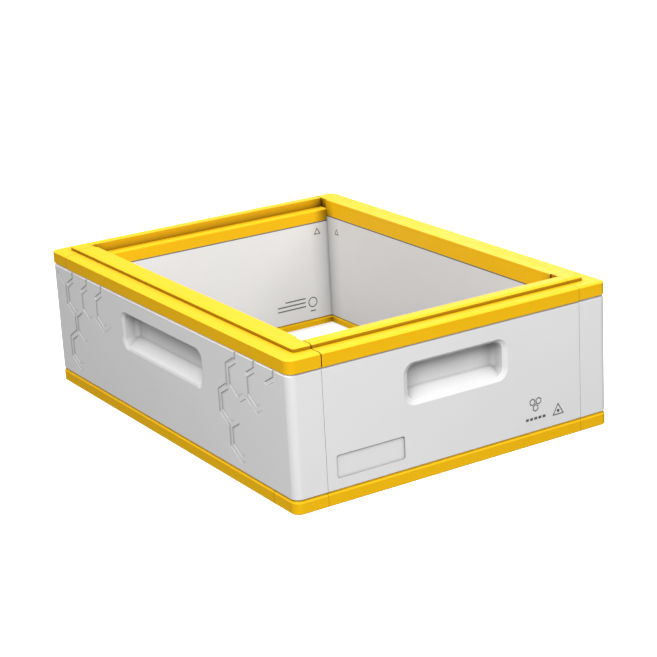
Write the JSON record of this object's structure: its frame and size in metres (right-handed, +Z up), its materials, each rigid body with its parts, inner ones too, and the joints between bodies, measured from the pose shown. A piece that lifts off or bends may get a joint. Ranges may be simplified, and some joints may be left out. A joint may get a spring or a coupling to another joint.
{
  "type": "insulated hive super",
  "caption": "Bottomless beehive super: an open box of moulded insulated walls with hand holds, rimmed stacking rails, frame rests and lift-out corner locks.",
  "frame": {"origin": "centre of the footprint, on the surface that the bottom rails stand on", "axes": "+X across the box, +Y along it and parallel to the frames, +Z up"},
  "size_m": [0.414, 0.562, 0.1731],
  "materials": {
    "pale_skin": "satin moulded",
    "foam": "moulded bead foam",
    "yellow_rail": "satin moulded"
  },
  "bodies": {
    "box": {"left_outer_shell": "pale_skin", "left_inner_liner": "pale_skin", "left_foam_core": "foam", "left_top_rail": "yellow_rail", "left_bottom_rail": "yellow_rail", "right_outer_shell": "pale_skin", "right_inner_liner": "pale_skin", "right_foam_core": "foam", "right_top_rail": "yellow_rail", "right_bottom_rail": "yellow_rail", "front_outer_shell": "pale_skin", "front_inner_liner": "pale_skin", "front_foam_core": "foam", "front_top_rail": "yellow_rail", "front_bottom_rail": "yellow_rail", "back_outer_shell": "pale_skin", "back_inner_liner": "pale_skin", "back_foam_core": "foam", "back_top_rail": "yellow_rail", "back_bottom_rail": "yellow_rail", "front_left_post": "pale_skin", "back_right_post": "pale_skin", "back_left_post": "pale_skin", "front_right_post": "pale_skin"},
    "back_left_top_lock": {"back_left_top_lock": "yellow_rail"},
    "front_right_top_lock": {"front_right_top_lock": "yellow_rail"},
    "front_left_base_lock": {"front_left_base_lock": "yellow_rail"},
    "back_right_base_lock": {"back_right_base_lock": "yellow_rail"}
  },
  "joints": [
    {"name": "back_left_top_lock_lift", "type": "slide", "parent": "box", "child": "back_left_top_lock", "axis": [0, 0, 1], "range_m": [0, 0.03]},
    {"name": "front_right_top_lock_lift", "type": "slide", "parent": "box", "child": "front_right_top_lock", "axis": [0, 0, 1], "range_m": [0, 0.03]},
    {"name": "front_left_base_lock_pull", "type": "slide", "parent": "box", "child": "front_left_base_lock", "axis": [0, 0, -1], "range_m": [0, 0.03]},
    {"name": "back_right_base_lock_pull", "type": "slide", "parent": "box", "child": "back_right_base_lock", "axis": [0, 0, -1], "range_m": [0, 0.03]}
  ]
}
